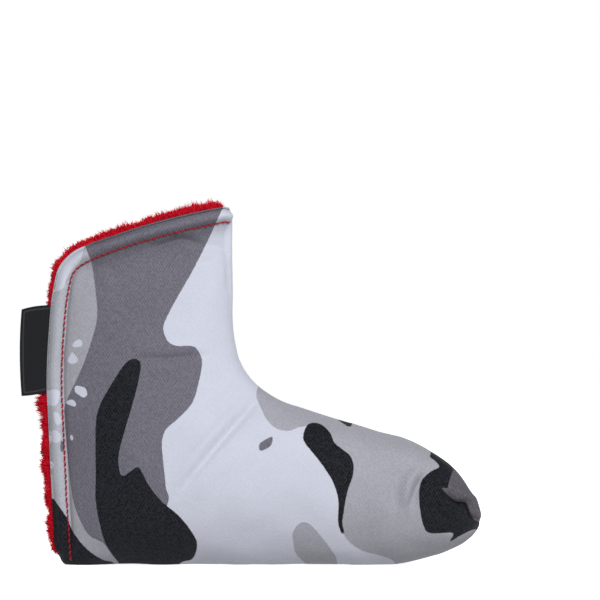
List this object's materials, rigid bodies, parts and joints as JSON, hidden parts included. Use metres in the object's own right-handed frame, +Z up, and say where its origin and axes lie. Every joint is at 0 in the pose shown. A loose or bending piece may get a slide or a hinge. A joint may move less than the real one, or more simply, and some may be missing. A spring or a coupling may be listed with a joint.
{
  "type": "putter head cover",
  "caption": "Boot-shaped blade putter head cover in printed cloth, foam padded and plush lined, with spreading flaps held by magnets",
  "frame": {"origin": "middle of the bounding box at the sole, on the seam plane between the two halves", "axes": "+X towards the toe, along the sole; +Y across the cover towards its far half; +Z up, towards the top edge where the shaft comes out"},
  "size_m": [0.1806, 0.0476, 0.141],
  "materials": {
    "outer_cloth": "matte",
    "foam": "matte",
    "plush": "matte",
    "thread": "satin",
    "magnet_steel": "satin",
    "label_ribbon": "satin"
  },
  "bodies": {
    "shell": {"near_outer_panel": "outer_cloth", "near_foam_pad": "foam", "near_plush_lining": "plush", "far_outer_panel": "outer_cloth", "far_foam_pad": "foam", "far_plush_lining": "plush"},
    "near_flap": {"near_outer_flap": "outer_cloth", "near_foam_flap": "foam", "near_plush_flap": "plush", "near_topstitch": "thread", "near_magnet_upper": "magnet_steel", "near_magnet_lower": "magnet_steel", "label_seam_allowance": "label_ribbon"},
    "far_flap": {"far_outer_flap": "outer_cloth", "far_foam_flap": "foam", "far_plush_flap": "plush", "far_topstitch": "thread", "far_magnet_upper": "magnet_steel", "far_magnet_lower": "magnet_steel"},
    "label": {"label_tab": "label_ribbon"}
  },
  "joints": [
    {"name": "near_flap_fold", "type": "hinge", "parent": "shell", "child": "near_flap", "pos_m": [-0.04495, -0.0212, 0.07425], "axis": [0.4371, 0, 0.8994], "range_deg": [0, 45], "stiffness_Nm_per_rad": 0.05, "springref_deg": -8.02},
    {"name": "far_flap_fold", "type": "hinge", "parent": "shell", "child": "far_flap", "pos_m": [-0.04495, 0.0212, 0.07425], "axis": [-0.4371, 0, -0.8994], "range_deg": [0, 45], "stiffness_Nm_per_rad": 0.05, "springref_deg": -8.02},
    {"name": "label_fold", "type": "hinge", "parent": "near_flap", "child": "label", "pos_m": [-0.07974, -0.00565, 0.0841], "axis": [0.0436, 0, 0.999], "range_deg": [-50, 50], "stiffness_Nm_per_rad": 0.0001}
  ]
}
